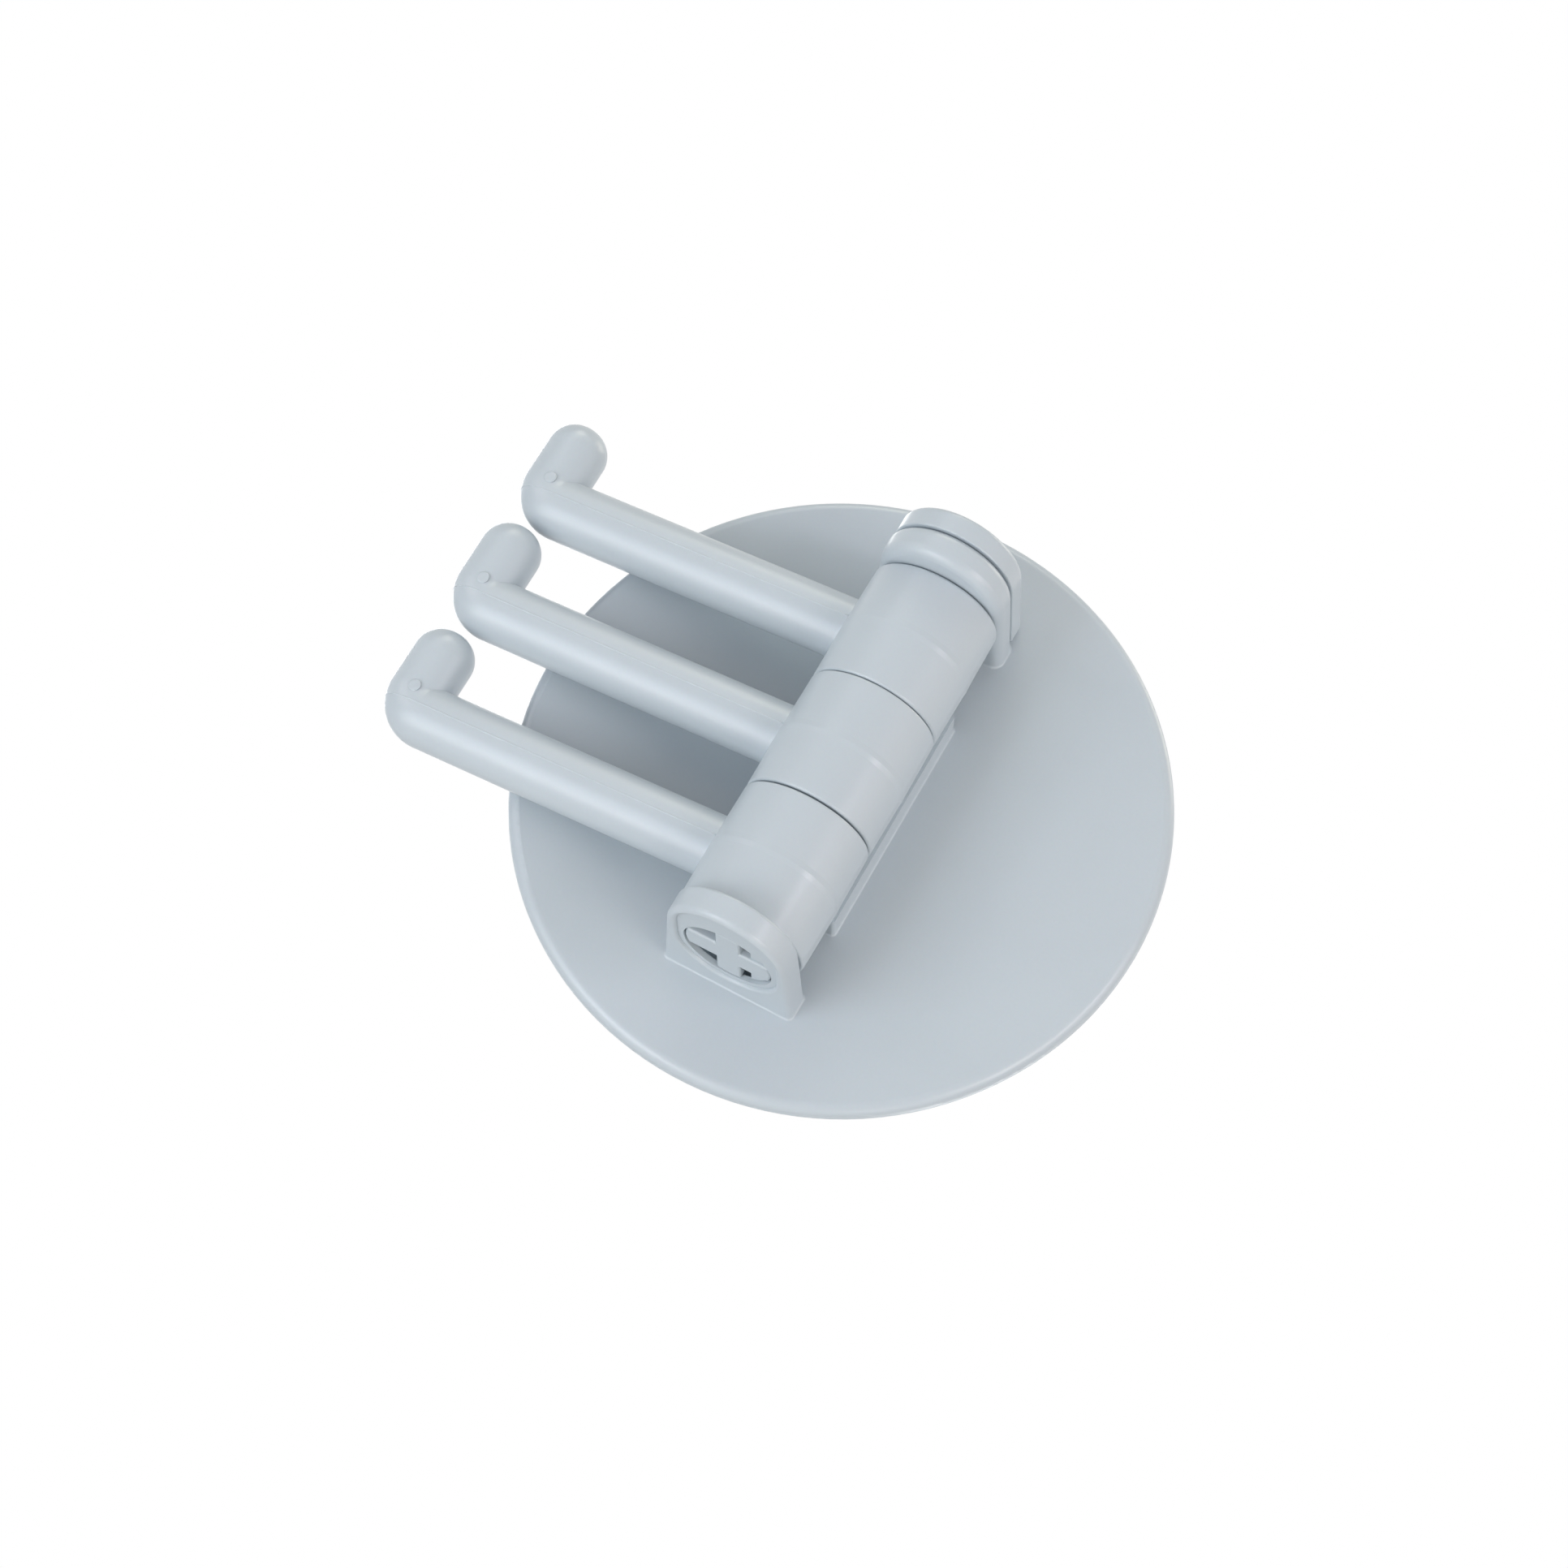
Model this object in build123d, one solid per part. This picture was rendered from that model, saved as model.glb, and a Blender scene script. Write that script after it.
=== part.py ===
from build123d import *
from math import atan, degrees, radians, tan
import os

# Swivel wall hook: a disc stuck to the wall, a bracket on its face, and three arms that turn on one upright
# pin. The pieces are drawn in the wall's own frame and stood up at the end. In the wall's frame x runs across
# to the right, y runs up along the wall, z is the height out from the wall, and the origin is the middle of
# the face that sticks to the wall. All sizes are millimetres.

# Disc
disc_diameter = 70.0
disc_thickness = 2.0
disc_edge_round = 1.2
disc_back_round = 0.3

# Adhesive pad, let into the back of the disc and standing a little proud of it
pad_diameter = 62.0
pad_thickness = 0.8
pad_recess_depth = 0.5
pad_side_gap = 0.3

# Hinge: one axis, parallel to the wall and upright
axis_above_disc_back = 10.4
barrel_radius = 7.3
barrel_length = 13.9
barrel_gaps = (0.12, 0.2, 0.1, 0.14)
barrel_end_round = 0.3
barrel_draft = 0.08
parting_ridge_height = 0.05
parting_ridge_width = 1.2
hinge_middle_y = -0.4

# Bracket ears, each a half-ellipse on straight legs that spread towards the foot
ear_top_above_disc_back = 20.5
ear_crown_height = 7.6
ear_draft_degrees = 3.0
near_ear_half_width = 6.85
near_ear_thickness = 3.0
near_ear_round = 0.6
far_ear_half_width = 7.2
far_ear_thickness = 3.4
far_ear_round = 1.1
ear_inner_round = 0.4
ear_root_round = 0.25

# Face of the near ear: an oval recess, a round opening for the pin's end, and a wider bore behind its lip
recess_half_width = 5.7
recess_depth = 0.42
recess_edge_round = 0.38
recess_upper_centre = 3.2
opening_radius = 5.05
opening_lip = 0.6
relief_radius = 6.0

# Cradle under the barrels, moulded on the disc
cradle_half_width = 6.87
cradle_top_above_disc_back = 5.65
cradle_low_y = -14.3
cradle_high_y = 12.4
cradle_barrel_gap = 0.17
cradle_round = 0.4

# Hinge pin
shaft_radius = 5.3
running_clearance = 0.08
seat_clearance = 0.1
head_half_width = 7.0
head_thickness = 2.5
head_round = 0.7
head_inner_round = 0.15
head_foot_gap = 0.15
head_foot_round = 0.65
key_radius = 4.92
key_wing_thickness = 3.5
key_bar_width = 2.8
key_end_below_floor = 0.05
key_edge_round = 0.3
key_web_start = 2.5
key_web_below_end = 0.35
shoulder_gap = 0.1

# Arms
rod_radius = 3.43
rod_length = 44.75
rod_rise_on_barrel = 0.4
tip_rise = 9.92
tip_round = 3.1
elbow_radius = 2.15
arm_rest_degrees = {"arm_lower": 8.7, "arm_middle": 8.1, "arm_upper": 8.6}

# Places that follow from the sizes above
disc_back = pad_thickness - pad_recess_depth
disc_front = disc_back + disc_thickness
axis_height = disc_back + axis_above_disc_back
ear_top = disc_back + ear_top_above_disc_back
crown_centre = ear_top - ear_crown_height
cradle_top = disc_back + cradle_top_above_disc_back
hinge_span = 3 * barrel_length + sum(barrel_gaps)
near_ear_inner = hinge_middle_y - hinge_span / 2
near_ear_outer = near_ear_inner - near_ear_thickness
far_ear_inner = hinge_middle_y + hinge_span / 2
far_ear_outer = far_ear_inner + far_ear_thickness
bore_radius = shaft_radius + running_clearance
recess_floor = near_ear_outer + recess_depth

# How far a cutting piece runs past the face it cuts, and how close counts as on a face
cut_past = 1.0
face_tolerance = 0.001


def slab(outline, low, high):
    """Cross-section in x and height, carried along y from low to high."""
    return extrude(Plane.XZ.offset(-high) * outline, high - low)


def arch_outline(half_width, foot):
    """Half-ellipse on two straight legs that spread towards the foot, without a corner between them."""
    lean = radians(ear_draft_degrees)
    turn = degrees(atan(ear_crown_height / half_width * tan(lean)))
    centre = (0, crown_centre)
    crown = EllipticalCenterArc(centre, half_width, ear_crown_height, turn, arc_size=180 - 2 * turn)
    shoulder = crown @ 0
    foot_x = shoulder.X + (shoulder.Y - foot) * tan(lean)
    legs = Polyline(shoulder, (foot_x, foot), (-foot_x, foot), crown @ 1)
    return make_face([crown, legs])


def rounded_arch(half_width, low, high, foot, low_round, high_round):
    """Arch-shaped plate with its two outlines rounded, apart from the foot."""
    plate = slab(arch_outline(half_width, foot), low, high)
    for y, size in ((low, low_round), (high, high_round)):
        outline = plate.edges().filter_by_position(Axis.Y, y, y)
        plate = fillet([e for e in outline if e.center().Z > foot + face_tolerance], size)
    return plate


def disc():
    """Round plate with a rounded front rim."""
    plate = Pos(0, 0, disc_back) * extrude(Circle(disc_diameter / 2), disc_thickness)
    plate = fillet(plate.edges().group_by(Axis.Z)[-1], disc_edge_round)
    return fillet(plate.edges().group_by(Axis.Z)[0], disc_back_round)


def pad_recess():
    """Shallow round recess in the back of the disc."""
    return Pos(0, 0, disc_back) * extrude(Circle(pad_diameter / 2 + pad_side_gap), pad_recess_depth)


def along_hinge(radius, low, high):
    """Cylinder on the hinge axis from low to high."""
    return slab(Pos(0, axis_height) * Circle(radius), low, high)


def cradle():
    """Low block on the disc, hollowed to follow the barrels."""
    root = disc_back + disc_thickness / 2
    outline = Pos(0, (root + cradle_top) / 2) * Rectangle(2 * cradle_half_width, cradle_top - root)
    block = slab(outline, cradle_low_y, cradle_high_y)
    block = fillet(block.edges().filter_by(Axis.Z), cradle_round)
    trough_radius = barrel_radius + cradle_barrel_gap
    return block - along_hinge(trough_radius, cradle_low_y - cut_past, cradle_high_y + cut_past)


def oval_recess():
    """Shallow oval in the outer face of the near ear, round below the axis and round above it."""
    lower = Pos(0, axis_height) * Circle(recess_half_width)
    upper = Pos(0, axis_height + recess_upper_centre) * Circle(recess_half_width)
    middle = Rectangle(2 * recess_half_width, recess_upper_centre)
    sides = Pos(0, axis_height + recess_upper_centre / 2) * middle
    return slab(lower + upper + sides, near_ear_outer - cut_past, recess_floor)


def reach(edge):
    """Farthest that an edge goes to the left or right of the hook's middle."""
    box = edge.bounding_box()
    return max(-box.min.X, box.max.X)


def ears():
    """The two arches that carry the pin, still without their openings."""
    root = disc_back + disc_thickness / 2
    near_rounds = near_ear_round, ear_inner_round
    near_ear = rounded_arch(near_ear_half_width, near_ear_outer, near_ear_inner, root, *near_rounds)
    far_rounds = far_ear_round, far_ear_round
    return near_ear + rounded_arch(far_ear_half_width, far_ear_inner, far_ear_outer, root, *far_rounds)


def base():
    """Disc, ears and cradle as one moulding."""
    body = disc() + ears() + cradle()
    on_disc = [e for e in body.edges() if abs(e.center().Z - disc_front) < face_tolerance]
    feet = [e for e in on_disc if reach(e) < disc_diameter / 4]
    body = fillet(feet, ear_root_round)
    body -= oval_recess()
    on_face = [e for e in body.edges() if abs(e.center().Y - near_ear_outer) < face_tolerance]
    recess_rim = [e for e in on_face if reach(e) < recess_half_width + face_tolerance]
    body = fillet(recess_rim, recess_edge_round)
    body -= along_hinge(opening_radius, near_ear_outer - cut_past, near_ear_inner + cut_past)
    body -= along_hinge(relief_radius, recess_floor + opening_lip, near_ear_inner + cut_past)
    body -= along_hinge(shaft_radius + seat_clearance, far_ear_inner - cut_past, far_ear_outer + cut_past)
    return body - pad_recess()


def key_cross():
    """Cross-section of the pin's end: a wide wing to either side and an upright bar, inside a circle."""
    cross = Rectangle(2 * key_radius, key_wing_thickness) + Rectangle(key_bar_width, 2 * key_radius)
    return Pos(0, axis_height) * (cross & Circle(key_radius))


def key_web():
    """Cross-section of the web that fills the right side of that circle."""
    width = key_radius - key_web_start
    side = Pos(key_web_start + width / 2, 0) * Rectangle(width, 2 * key_radius)
    return Pos(0, axis_height) * (side & Circle(key_radius))


def hinge_pin():
    """Arch-shaped head, round shaft and cross-shaped key in one piece."""
    head_outer = far_ear_outer + head_thickness
    head_foot = disc_front + head_foot_gap
    head = rounded_arch(head_half_width, far_ear_outer, head_outer, head_foot, head_inner_round, head_round)
    foot = [e for e in head.edges().group_by(Axis.Z)[0] if abs(e.center().Y - far_ear_outer) < face_tolerance]
    head = fillet(foot, head_foot_round)
    shoulder = near_ear_inner + shoulder_gap
    shaft = along_hinge(shaft_radius, shoulder, far_ear_outer)
    key_end = recess_floor + key_end_below_floor
    key = slab(key_cross(), key_end, shoulder)
    key = fillet(key.faces().sort_by(Axis.Y)[0].edges(), key_edge_round)
    return head + shaft + key + slab(key_web(), key_end + key_web_below_end, shoulder)


def barrel():
    """Barrel of one arm: widest at its middle, where the mould parts, with rounded ends."""
    half = barrel_length / 2
    end_radius = barrel_radius - barrel_draft
    ridge = parting_ridge_width / 2
    outline = Polyline(
        (0, -half),
        (end_radius, -half),
        (barrel_radius, -ridge),
        (barrel_radius + parting_ridge_height, 0),
        (barrel_radius, ridge),
        (end_radius, half),
        (0, half),
        close=True,
    )
    body = revolve(make_face(outline), Axis.Y)
    circles = body.edges().filter_by(GeomType.CIRCLE)
    ends = [e for e in circles if abs(abs(e.center().Y) - half) < face_tolerance]
    return fillet(ends, barrel_end_round)


def elbow(turn_x):
    """Outer part of the rod's circle, turned a quarter about the corner of the hook."""
    outer_part = Pos(0, elbow_radius - rod_radius) * Rectangle(4 * rod_radius, 2 * rod_radius)
    section = Circle(rod_radius) & outer_part
    section = Plane(origin=(turn_x, 0, 0), x_dir=(0, 0, 1), z_dir=(-1, 0, 0)) * section
    corner = Axis((turn_x, elbow_radius, 0), (0, 0, 1))
    return revolve(section, corner, -90)


def arm():
    """One arm on its own barrel, pointing to the left, with the barrel's middle at the origin."""
    turn_x = elbow_radius - rod_length
    rod = Plane.YZ * extrude(Circle(rod_radius), turn_x)
    tip = Pos(-rod_length, elbow_radius, 0) * extrude(Plane.XZ * Circle(rod_radius), elbow_radius - tip_rise)
    tip = fillet(tip.edges().group_by(Axis.Y)[-1], tip_round)
    hook = Pos(0, rod_rise_on_barrel, 0) * (rod + elbow(turn_x) + tip)
    bore = extrude(Plane.XZ.offset(-barrel_length) * Circle(bore_radius), 2 * barrel_length)
    return barrel() + hook - bore


def arm_at(index, rest_degrees):
    """Arm number index, counted from the near ear, folded to the left and leaning towards the disc."""
    middle_y = near_ear_inner + sum(barrel_gaps[:index + 1]) + (index + 0.5) * barrel_length
    return Pos(0, middle_y, axis_height) * Rot(0, -rest_degrees, 0) * arm()


def adhesive_pad():
    """Flat round pad that fills the recess and touches the wall."""
    return extrude(Circle(pad_diameter / 2), pad_thickness)


pieces = {"base": base(), "hinge_pin": hinge_pin(), "adhesive_pad": adhesive_pad()}
for index, (name, rest_degrees) in enumerate(arm_rest_degrees.items()):
    pieces[name] = arm_at(index, rest_degrees)

# Stand the hook up: height out from the wall becomes -Y, and up along the wall becomes +Z
stand_up = Plane.XZ.location
os.makedirs("parts", exist_ok=True)
for name, piece in pieces.items():
    export_step(stand_up * piece, f"parts/{name}.step")
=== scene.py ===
from math import cos, radians, sin

import bpy
import numpy as np
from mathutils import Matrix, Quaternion, Vector


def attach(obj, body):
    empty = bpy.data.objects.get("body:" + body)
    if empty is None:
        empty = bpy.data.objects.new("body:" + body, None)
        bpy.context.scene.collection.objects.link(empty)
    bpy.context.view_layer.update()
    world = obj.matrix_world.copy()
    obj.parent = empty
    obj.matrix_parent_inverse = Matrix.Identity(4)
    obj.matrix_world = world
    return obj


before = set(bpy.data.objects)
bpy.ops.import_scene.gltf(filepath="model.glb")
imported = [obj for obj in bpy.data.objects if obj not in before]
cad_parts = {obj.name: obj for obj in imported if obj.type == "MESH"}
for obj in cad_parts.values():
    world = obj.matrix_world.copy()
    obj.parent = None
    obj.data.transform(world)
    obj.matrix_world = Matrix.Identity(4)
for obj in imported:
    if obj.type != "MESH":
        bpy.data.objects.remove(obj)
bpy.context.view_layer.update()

MM = 0.001

# Camera of the photograph: where it stood and what it looked at, in millimetres, its roll in
# degrees, its lens and the width of its sensor in millimetres, and the nearest and farthest that
# it sees, in metres
CAMERA_PLACE_MM = (65.113, -336.587, -126.905)
CAMERA_AIM_MM = (-5.881, -2.3, -1.779)
CAMERA_ROLL = 31.017
CAMERA_LENS = 79.534
CAMERA_SENSOR = 36.0
CAMERA_NEAR = 0.01
CAMERA_FAR = 20.0

# Studio: soft square lamps round the hook, each with its azimuth and elevation in degrees, its
# width in metres, its power in watts and its colour. All are close to white, a few of them a
# little cool, and most of those above and on the right a little warm.
LAMP_DISTANCE = 0.6
STUDIO_LAMPS = (
    ("lamp_low_left", -35, -50, 0.25, 0.56, "#FBF8FF"),
    ("lamp_low_front", -15, -50, 0.25, 0.3, "#FFF9F5"),
    ("lamp_left", -35, -30, 0.25, 0.63, "#E8F2FF"),
    ("lamp_far_left", -60, -40, 0.25, 0.4, "#F6FFF8"),
    ("lamp_lowest", -60, -65, 0.25, 0.08, "#EEF4FF"),
    ("lamp_level_left", -55, 0, 0.25, 0.36, "#FFF2F2"),
    ("lamp_left_raised", -35, 35, 0.25, 0.22, "#FFFFFF"),
    ("lamp_high_left", -35, 60, 0.25, 0.68, "#FFFDED"),
    ("lamp_high_right", 20, 60, 0.25, 0.2, "#F1FAFF"),
    ("lamp_high_side", 110, 60, 0.25, 0.6, "#FFF6E4"),
    ("lamp_right", 56, 8, 0.14, 0.45, "#FFF5FF"),
    ("lamp_low_right", 56, -15, 0.28, 1.0, "#FFF8F0"),
    ("lamp_lowest_right", 62, -50, 0.15, 0.2, "#FFF8F0"),
    ("lamp_side_right", 80, 8, 0.25, 0.27, "#FFF6F6"),
    ("lamp_behind_left", -150, 20, 0.25, 0.6, "#FFFFFF"),
    ("lamp_behind_right", 150, -10, 0.25, 0.6, "#FFFFFF"),
)

# The world's light on the hook, where 1 is white, and the floor: its height and half its width in
# metres, how much it glows to the camera, and how many patches of tone its paper has in a metre
WORLD_LIGHT = 0.34
FLOOR_HEIGHT = -0.7
FLOOR_HALF_WIDTH = 12.0
FLOOR_GLOW = 0.38
FLOOR_PATCHES = 6.0

# Sizes of the part that the small mould marks sit on, in millimetres, and each arm's lean, in
# degrees. The beads of the rods start inside the barrels.
AXIS_Y = -10.7
ROD_RADIUS = 3.43
ELBOW_RADIUS = 2.15
ELBOW_X = -42.6
ROD_START_X = -6.3
DISC_RADIUS = 35.0
DISC_BACK_Y = -0.3
ARM_LEAN = {"lower_arm": 8.7, "middle_arm": 8.1, "upper_arm": 8.6}
ROD_HEIGHT = {"lower_arm": -14.06, "middle_arm": 0.04, "upper_arm": 14.04}

# Beads where the two halves of a mould met, in millimetres: a low arch, its edges sunk a little in
# the surface and its flat underside sunk deeper. The disc's bead lies in front of its back.
BEAD_HALF_WIDTH = 0.12
BEAD_HEIGHT = 0.045
BEAD_EDGE_SINK = 0.015
BEAD_UNDER_SINK = 0.06
BEAD_ARCH_POINTS = 7
BEAD_UNDER_POINTS = BEAD_ARCH_POINTS - 2
BEAD_RING_POINTS = BEAD_ARCH_POINTS + BEAD_UNDER_POINTS
ROD_POINTS = 60
ELBOW_POINTS = 49
DISC_BEAD_OFFSET = 0.55
DISC_BEAD_POINTS = 360

# Round marks, in millimetres: the trimmed stub where the plastic came in, on the front of each
# elbow, and the marks of the pins that pushed the disc out, the first of them in degrees from the
# right. Each has a foot below the surface, and the shares of its radius are those of its profile.
MARK_FOOT = 0.1
MARK_SEGMENTS = 32
SHOULDER_POINTS = 7
SHOULDER_SHARE = 0.3
CROWN_SHARE = 0.7
TOP_SHARE = 0.35
GATE_RADIUS = 0.7
GATE_HEIGHT = 0.09
GATE_X = -44.2
GATE_Y = 1.6
EJECTOR_RADIUS = 1.2
EJECTOR_HEIGHT = 0.06
EJECTOR_RING = 33.0
EJECTOR_COUNT = 6
EJECTOR_FIRST = 30


def linear(hex_colour):
    """sRGB hex colour as the linear RGBA that the nodes take."""
    channels = [int(hex_colour[i:i + 2], 16) / 255 for i in (1, 3, 5)]
    return [c / 12.92 if c <= 0.04045 else ((c + 0.055) / 1.055) ** 2.4 for c in channels] + [1.0]


def add_node(tree, kind, inputs=None, **settings):
    """A node of that kind, its settings made, its inputs set to values or linked from sockets."""
    node = tree.nodes.new(kind)
    for name, value in settings.items():
        setattr(node, name, value)
    for key, value in (inputs or {}).items():
        if isinstance(value, bpy.types.NodeSocket):
            tree.links.new(value, node.inputs[key])
        else:
            node.inputs[key].default_value = value
    return node


def new_material(name):
    """An empty material and its node tree."""
    material = bpy.data.materials.new(name)
    material.use_nodes = True
    material.node_tree.nodes.clear()
    return material, material.node_tree


def moulded_abs(name="abs_blue_grey_satin"):
    """Injection-moulded ABS, pale blue-grey: satin of a fine spark-eroded mould, faint flow marks.

    The eye gets a soft sheen that breaks up a little, slow changes of tint where the melt flowed,
    and a surface that is never quite flat. The mould's grain is near 0.1 mm, drawn 0.3 mm wide so
    that it shows. The roughness stays above 0.28: under it, noise removal leaves hard edges.
    """
    flow_width, sheen_width, grain_width = 14 * MM, 5 * MM, 0.3 * MM
    flow_depth, grain_depth = 0.012 * MM, 0.0025 * MM
    material, tree = new_material(name)
    coordinates = add_node(tree, "ShaderNodeTexCoord").outputs["Object"]
    flow = add_node(tree, "ShaderNodeTexNoise", {
        "Vector": coordinates, "Scale": 1 / flow_width, "Detail": 5.0, "Roughness": 0.6,
        "Distortion": 0.3})
    tint = add_node(tree, "ShaderNodeMix", {"Factor": flow.outputs["Fac"]}, data_type="RGBA")
    tint.inputs["A"].default_value = linear("#B9C3CA")
    tint.inputs["B"].default_value = linear("#BEC8CF")
    grain = add_node(tree, "ShaderNodeTexNoise", {
        "Vector": coordinates, "Scale": 1 / grain_width, "Detail": 2.0, "Roughness": 0.6})
    speck = add_node(tree, "ShaderNodeMix", {
        "Factor": 0.08, "A": tint.outputs["Result"], "B": grain.outputs["Color"]},
        data_type="RGBA", blend_type="SOFT_LIGHT")
    sheen = add_node(tree, "ShaderNodeTexNoise", {
        "Vector": coordinates, "Scale": 1 / sheen_width, "Detail": 5.0, "Roughness": 0.6})
    gloss = add_node(tree, "ShaderNodeMapRange", {
        "Value": sheen.outputs["Fac"], "From Min": 0.3, "From Max": 0.7,
        "To Min": 0.285, "To Max": 0.32})
    wave = add_node(tree, "ShaderNodeBump", {
        "Height": flow.outputs["Fac"], "Strength": 0.5, "Distance": flow_depth})
    skin = add_node(tree, "ShaderNodeBump", {
        "Height": grain.outputs["Fac"], "Strength": 0.5, "Distance": grain_depth,
        "Normal": wave.outputs["Normal"]})
    shader = add_node(tree, "ShaderNodeBsdfPrincipled", {
        "Base Color": speck.outputs["Result"], "Roughness": gloss.outputs["Result"],
        "Normal": skin.outputs["Normal"], "IOR": 1.54})
    add_node(tree, "ShaderNodeOutputMaterial", {"Surface": shader.outputs["BSDF"]})
    return material


def adhesive_foam(name="acrylic_foam_adhesive_white"):
    """Acrylic foam adhesive pad, off-white: closed cells near 0.5 mm across, under a sticky skin.

    The eye gets a soft milky surface with faint darker cells and a weak, broken gloss.
    """
    cell_width, cloud_width, dent_depth = 0.5 * MM, 6 * MM, 0.05 * MM
    material, tree = new_material(name)
    coordinates = add_node(tree, "ShaderNodeTexCoord").outputs["Object"]
    cells = add_node(tree, "ShaderNodeTexVoronoi", {
        "Vector": coordinates, "Scale": 1 / cell_width, "Randomness": 1.0}, feature="F1")
    cloud = add_node(tree, "ShaderNodeTexNoise", {
        "Vector": coordinates, "Scale": 1 / cloud_width, "Detail": 3.0})
    milk = add_node(tree, "ShaderNodeMix", {"Factor": cloud.outputs["Fac"]}, data_type="RGBA")
    milk.inputs["A"].default_value = linear("#DFE1DC")
    milk.inputs["B"].default_value = linear("#E8E9E5")
    shade = add_node(tree, "ShaderNodeMapRange", {
        "Value": cells.outputs["Distance"], "From Min": 0.0, "From Max": 0.6,
        "To Min": 0.35, "To Max": 0.0})
    colour = add_node(tree, "ShaderNodeMix", {
        "Factor": shade.outputs["Result"], "A": milk.outputs["Result"]}, data_type="RGBA")
    colour.inputs["B"].default_value = linear("#C9CCC8")
    gloss = add_node(tree, "ShaderNodeMapRange", {
        "Value": cloud.outputs["Fac"], "From Min": 0.3, "From Max": 0.7,
        "To Min": 0.42, "To Max": 0.6})
    dents = add_node(tree, "ShaderNodeBump", {
        "Height": cells.outputs["Distance"], "Strength": 0.6, "Distance": dent_depth})
    shader = add_node(tree, "ShaderNodeBsdfPrincipled", {
        "Base Color": colour.outputs["Result"], "Roughness": gloss.outputs["Result"],
        "Normal": dents.outputs["Normal"], "IOR": 1.47})
    add_node(tree, "ShaderNodeOutputMaterial", {"Surface": shader.outputs["BSDF"]})
    return material


def dress(node, material):
    """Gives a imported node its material."""
    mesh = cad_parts[node].data
    mesh.materials.clear()
    mesh.materials.append(material)
    mesh.polygons.foreach_set("material_index", np.zeros(len(mesh.polygons), dtype=np.int32))


def grid_faces(rows, columns, rows_close, columns_close):
    """Four-sided faces between neighbours on a grid, joined end to start where it closes."""
    down = np.arange(rows if rows_close else rows - 1)[:, None]
    along = np.arange(columns if columns_close else columns - 1)[None, :]
    after_down, after_along = (down + 1) % rows, (along + 1) % columns
    corners = [down * columns + along, after_down * columns + along,
               after_down * columns + after_along, down * columns + after_along]
    return np.stack(np.broadcast_arrays(*corners), axis=-1).reshape(-1, 4)


def new_piece(name, points_mm, faces, material, body):
    """One smooth mesh, its points in millimetres and its faces outwards, riding on its body."""
    mesh = bpy.data.meshes.new(name)
    mesh.from_pydata((points_mm * MM).tolist(), [], faces)
    mesh.polygons.foreach_set("use_smooth", np.ones(len(mesh.polygons), dtype=bool))
    mesh.materials.append(material)
    mesh.update()
    piece = bpy.data.objects.new(name, mesh)
    bpy.context.scene.collection.objects.link(piece)
    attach(piece, body)


def bead_along(path, outward, side, ends_meet):
    """Closed bead carried along a path: a low arch of height (1 - v squared) over -1 < v < 1.

    At each point of the path the arch stands on the surface, v half-widths across the path, and its
    underside is sunk in the surface.
    """
    v = np.linspace(-1, 1, BEAD_ARCH_POINTS)
    across = np.concatenate([v, v[-2:0:-1]]) * BEAD_HALF_WIDTH
    rise = np.concatenate([1 - v ** 2, np.zeros(BEAD_UNDER_POINTS)]) * BEAD_HEIGHT
    sink = np.concatenate([
        np.full(BEAD_ARCH_POINTS, BEAD_EDGE_SINK), np.full(BEAD_UNDER_POINTS, BEAD_UNDER_SINK)])
    ring = (path[:, None, :] + side[:, None, :] * across[:, None]
            + outward[:, None, :] * (rise - sink)[:, None])
    faces = grid_faces(len(path), BEAD_RING_POINTS, ends_meet, True)[:, ::-1].tolist()
    if not ends_meet:
        last = (len(path) - 1) * BEAD_RING_POINTS
        faces += [list(range(BEAD_RING_POINTS - 1, -1, -1)),
                  list(range(last, last + BEAD_RING_POINTS))]
    return ring.reshape(-1, 3), faces


def in_row_frame(points, body):
    """An arm's points at rest, in millimetres: x along the rod, y up the hinge, z out of the wall.

    The arm leans by its angle about the hinge: right is x cos - z sin, and out of the wall, from
    the hinge's axis, is x sin + z cos. Up is y from the height of the rod.
    """
    lean = radians(ARM_LEAN[body])
    x, y, z = np.moveaxis(points, -1, 0)
    right = x * cos(lean) - z * sin(lean)
    back = AXIS_Y - x * sin(lean) - z * cos(lean)
    return np.stack([right, back, y + ROD_HEIGHT[body]], -1)


def turned(directions, body):
    """Directions of an arm, turned as in_row_frame turns its points."""
    return in_row_frame(directions, body) - in_row_frame(np.zeros(3), body)


def rod_bead(body):
    """Bead round one rod where the mould parted: along its front, round the elbow and back behind.

    It is straight at z = rod radius. Then it goes round the elbow's tube, at angle t from the
    front: z = r cos t, and the distance from the elbow's corner is R + r sin t, so that
    x = corner - root((R + r sin t) squared - R squared).
    """
    r, ring = ROD_RADIUS, ELBOW_RADIUS
    straight = np.linspace(ROD_START_X, ELBOW_X, ROD_POINTS)
    t = np.linspace(0, np.pi, ELBOW_POINTS)[1:-1]
    far = ring + r * np.sin(t)
    reach = np.sqrt(far ** 2 - ring ** 2)
    x = np.concatenate([straight, ELBOW_X - reach, straight[::-1]])
    z = np.concatenate([np.full(ROD_POINTS, r), r * np.cos(t), np.full(ROD_POINTS, -r)])
    path = np.stack([x, np.zeros_like(x), z], -1)
    round_out = np.stack([-reach / far * np.sin(t), -ring / far * np.sin(t), np.cos(t)], -1)
    flat = np.zeros((ROD_POINTS, 3)) + (0, 0, 1)
    outward = np.concatenate([flat, round_out, -flat])
    onward = np.gradient(path, axis=0)
    side = np.cross(onward, outward)
    side /= np.linalg.norm(side, axis=1, keepdims=True)
    return bead_along(in_row_frame(path, body), turned(outward, body), turned(side, body), False)


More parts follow.
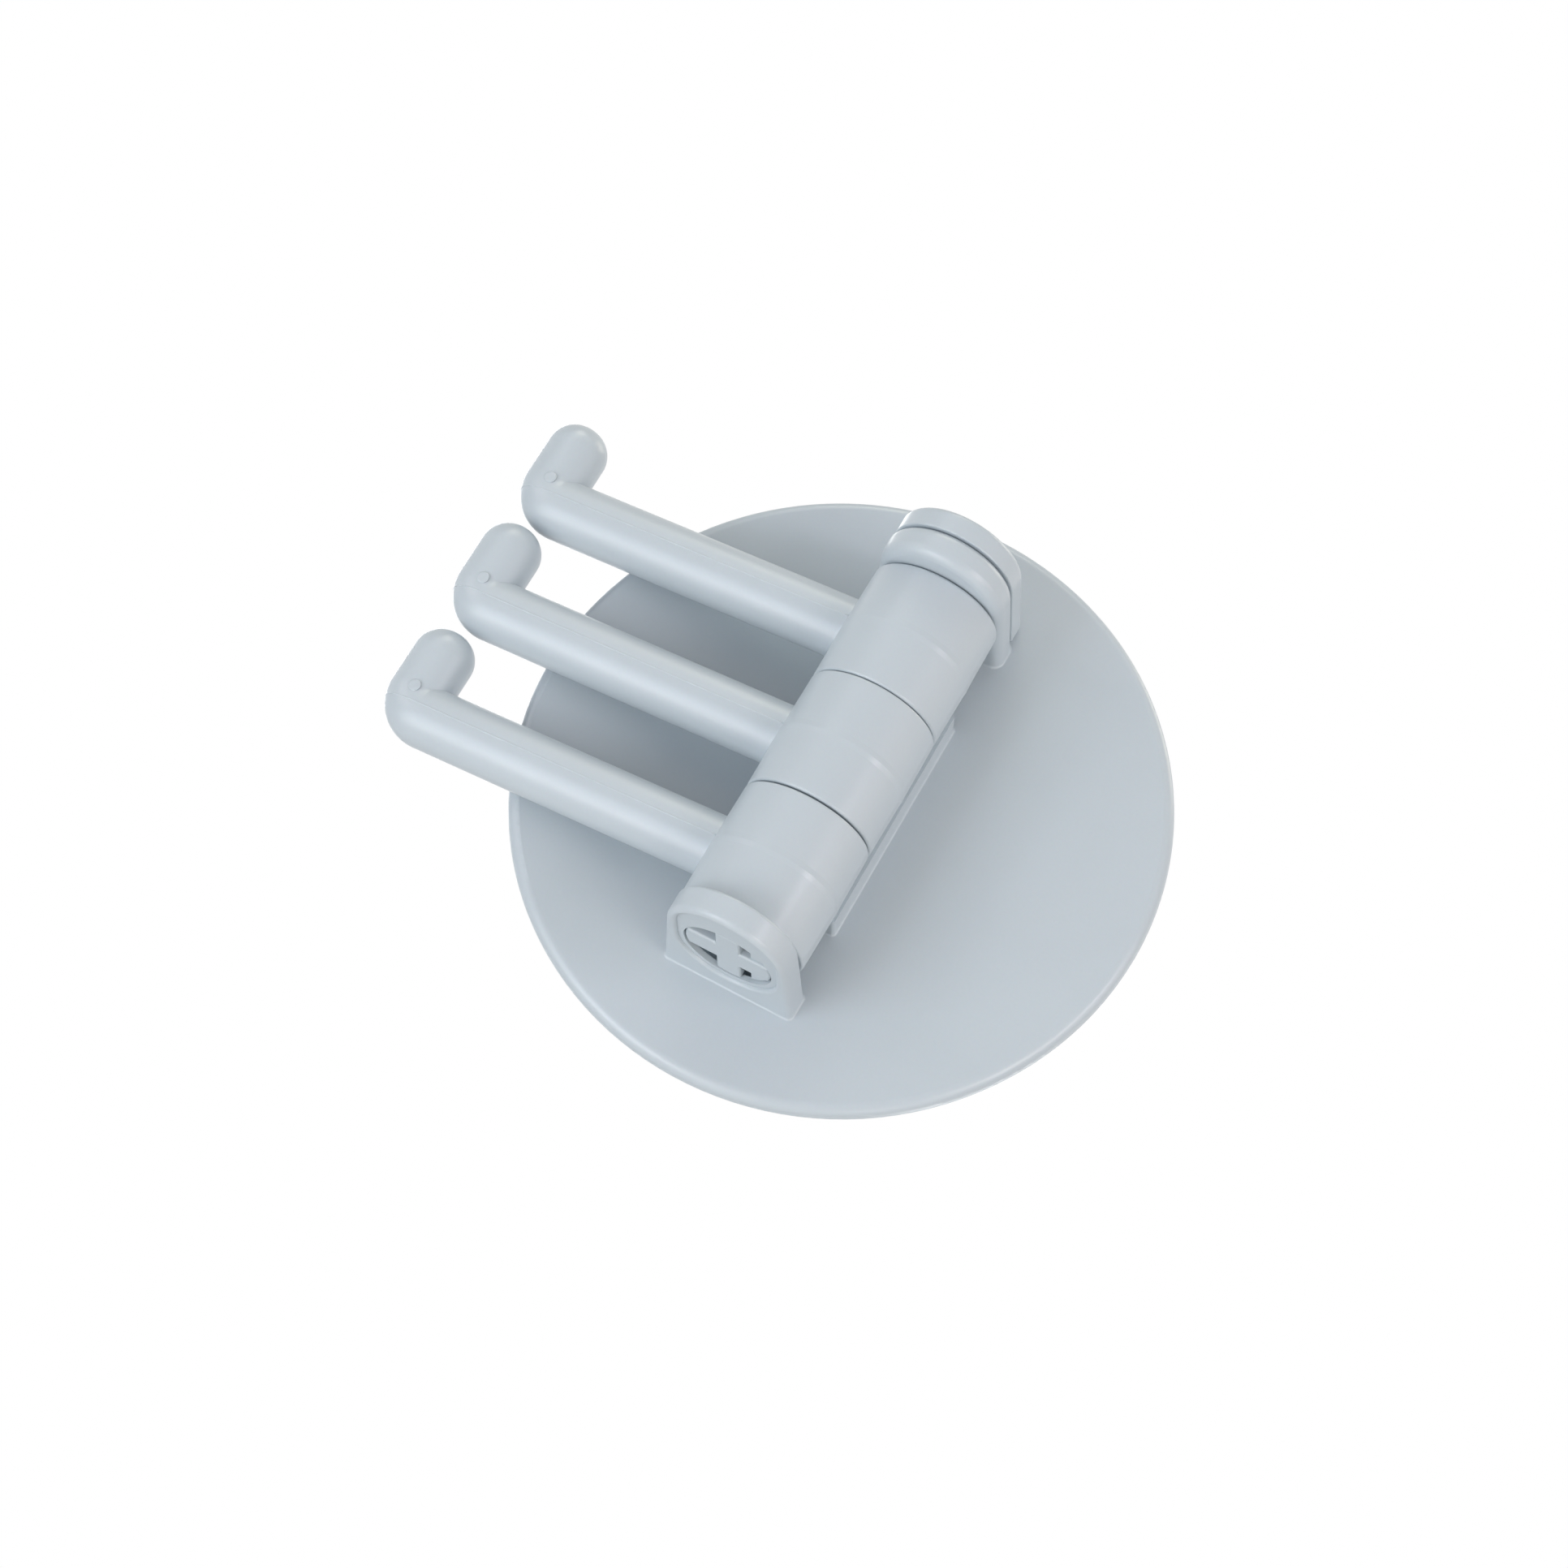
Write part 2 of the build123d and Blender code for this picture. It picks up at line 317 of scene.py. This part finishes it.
def round_mark(radius, height):
    """Low round button: a foot, a rounded shoulder that is a quarter of an ellipse, and a flat top.

    At angle a of the shoulder, the radius is the crown's share plus the shoulder's share times
    cos a, of the whole, and the height is sin a of the whole.
    """
    a = np.linspace(0, np.pi / 2, SHOULDER_POINTS)
    shoulder = radius * (CROWN_SHARE + SHOULDER_SHARE * np.cos(a))
    out = np.concatenate([[radius], shoulder, [radius * TOP_SHARE]])
    up = np.concatenate([[-MARK_FOOT], height * np.sin(a), [height]])
    turn = np.linspace(0, 2 * np.pi, MARK_SEGMENTS, endpoint=False)
    points = np.stack([out[:, None] * np.cos(turn), out[:, None] * np.sin(turn),
                       np.broadcast_to(up[:, None], (len(up), MARK_SEGMENTS))], -1)
    faces = grid_faces(len(out), MARK_SEGMENTS, False, True)[:, ::-1].tolist()
    last = (len(out) - 1) * MARK_SEGMENTS
    faces += [list(range(MARK_SEGMENTS - 1, -1, -1)), list(range(last, last + MARK_SEGMENTS))]
    return points.reshape(-1, 3), faces


def gate_stub(body):
    """Trimmed stub of the gate: a round mark at its place on the front of the elbow."""
    points, faces = round_mark(GATE_RADIUS, GATE_HEIGHT)
    return in_row_frame(points + (GATE_X, GATE_Y, ROD_RADIUS), body), faces


def disc_bead():
    """Bead round the rim of the disc where its mould parted: a circle of the disc's radius."""
    turn = np.linspace(0, 2 * np.pi, DISC_BEAD_POINTS, endpoint=False)
    outward = np.stack([np.cos(turn), np.zeros_like(turn), np.sin(turn)], -1)
    side = np.zeros_like(outward) + (0, 1, 0)
    path = outward * DISC_RADIUS + (0, DISC_BACK_Y - DISC_BEAD_OFFSET, 0)
    return bead_along(path, outward, side, True)


def ejector_marks():
    """Round marks on the back of the disc, evenly spaced on a circle, where pins pushed it out."""
    points, faces = round_mark(EJECTOR_RADIUS, EJECTOR_HEIGHT)
    places = np.radians(EJECTOR_FIRST + 360 / EJECTOR_COUNT * np.arange(EJECTOR_COUNT))
    mark = np.stack([points[:, 0], points[:, 2] + DISC_BACK_Y, -points[:, 1]], -1)
    centres = np.stack([np.cos(places), np.zeros(EJECTOR_COUNT), np.sin(places)], -1) * EJECTOR_RING
    all_points = (mark[None] + centres[:, None]).reshape(-1, 3)
    starts = range(0, len(all_points), len(points))
    return all_points, [[i + start for i in face] for start in starts for face in faces]


def photo_camera():
    """Camera at the photograph's place, aim and roll."""
    data = bpy.data.cameras.new("photo_camera")
    data.lens = CAMERA_LENS
    data.sensor_width = CAMERA_SENSOR
    data.clip_start = CAMERA_NEAR
    data.clip_end = CAMERA_FAR
    camera = bpy.data.objects.new("photo_camera", data)
    bpy.context.scene.collection.objects.link(camera)
    place = Vector(CAMERA_PLACE_MM) * MM
    aim = Vector(CAMERA_AIM_MM) * MM
    camera.location = place
    camera.rotation_mode = "QUATERNION"
    level = (aim - place).to_track_quat("-Z", "Y")
    camera.rotation_quaternion = level @ Quaternion((0, 0, 1), radians(CAMERA_ROLL))
    bpy.context.scene.camera = camera


def area_light(name, azimuth, elevation, width, power, colour):
    """Soft square lamp that looks at the hook; azimuth 0 is the front, 90 the right, in degrees."""
    data = bpy.data.lights.new(name, "AREA")
    data.size = width
    data.energy = power
    data.color = linear(colour)[:3]
    lamp = bpy.data.objects.new(name, data)
    bpy.context.scene.collection.objects.link(lamp)
    around, up = radians(azimuth), radians(elevation)
    way = Vector((sin(around) * cos(up), -cos(around) * cos(up), sin(up)))
    lamp.location = way * LAMP_DISTANCE
    lamp.visible_camera = False
    lamp.rotation_mode = "QUATERNION"
    lamp.rotation_quaternion = (-way).to_track_quat("-Z", "Y")


def seen_or_mirrored(tree):
    """1 for what the camera sees, also through gloss or glass, and 0 for light on the hook."""
    path = add_node(tree, "ShaderNodeLightPath").outputs
    glass = add_node(tree, "ShaderNodeMath", {
        0: path["Is Glossy Ray"], 1: path["Is Transmission Ray"]}, operation="MAXIMUM")
    seen = add_node(tree, "ShaderNodeMath", {
        0: path["Is Camera Ray"], 1: glass.outputs["Value"]}, operation="MAXIMUM")
    return seen.outputs["Value"]


def studio_floor():
    """Plain pale floor well below the hook and the camera: matt paper, paler to the camera."""
    corners = np.array([(-1, -1), (1, -1), (1, 1), (-1, 1)]) * FLOOR_HALF_WIDTH
    mesh = bpy.data.meshes.new("studio_floor")
    mesh.from_pydata([(x, y, FLOOR_HEIGHT) for x, y in corners.tolist()], [], [(0, 1, 2, 3)])
    floor = bpy.data.objects.new("studio_floor", mesh)
    bpy.context.scene.collection.objects.link(floor)
    material, tree = new_material("paper_white_matt")
    coordinates = add_node(tree, "ShaderNodeTexCoord").outputs["Object"]
    patches = add_node(tree, "ShaderNodeTexNoise", {
        "Vector": coordinates, "Scale": FLOOR_PATCHES, "Detail": 4.0})
    tint = add_node(tree, "ShaderNodeMix", {"Factor": patches.outputs["Fac"]}, data_type="RGBA")
    tint.inputs["A"].default_value = linear("#F0F0EF")
    tint.inputs["B"].default_value = linear("#F4F4F3")
    glow = add_node(tree, "ShaderNodeMath", {
        0: seen_or_mirrored(tree), 1: FLOOR_GLOW}, operation="MULTIPLY")
    shader = add_node(tree, "ShaderNodeBsdfPrincipled", {
        "Base Color": tint.outputs["Result"], "Roughness": 0.8,
        "Emission Strength": glow.outputs["Value"]})
    add_node(tree, "ShaderNodeOutputMaterial", {"Surface": shader.outputs["BSDF"]})
    mesh.materials.append(material)


def white_surroundings():
    """World that is white to the camera and in reflections, and gives an even soft light."""
    world = bpy.data.worlds.new("studio")
    bpy.context.scene.world = world
    world.use_nodes = True
    tree = world.node_tree
    tree.nodes.clear()
    strength = add_node(tree, "ShaderNodeMix", {
        "Factor": seen_or_mirrored(tree), "A": WORLD_LIGHT, "B": 1.0}, data_type="FLOAT")
    background = add_node(tree, "ShaderNodeBackground", {
        "Color": (1, 1, 1, 1), "Strength": strength.outputs["Result"]})
    add_node(tree, "ShaderNodeOutputWorld", {"Surface": background.outputs["Background"]})


abs_plastic = moulded_abs()
for node in ("base", "hinge_pin", "arm_lower", "arm_middle", "arm_upper"):
    dress(node, abs_plastic)
dress("adhesive_pad", adhesive_foam())

for body in ARM_LEAN:
    new_piece(f"rod_bead_{body}", *rod_bead(body), abs_plastic, body)
    new_piece(f"gate_stub_{body}", *gate_stub(body), abs_plastic, body)
new_piece("disc_bead", *disc_bead(), abs_plastic, "root")
new_piece("ejector_marks", *ejector_marks(), abs_plastic, "root")

photo_camera()
studio_floor()
white_surroundings()
for lamp in STUDIO_LAMPS:
    area_light(*lamp)

scene = bpy.context.scene
scene.view_settings.view_transform = "Standard"
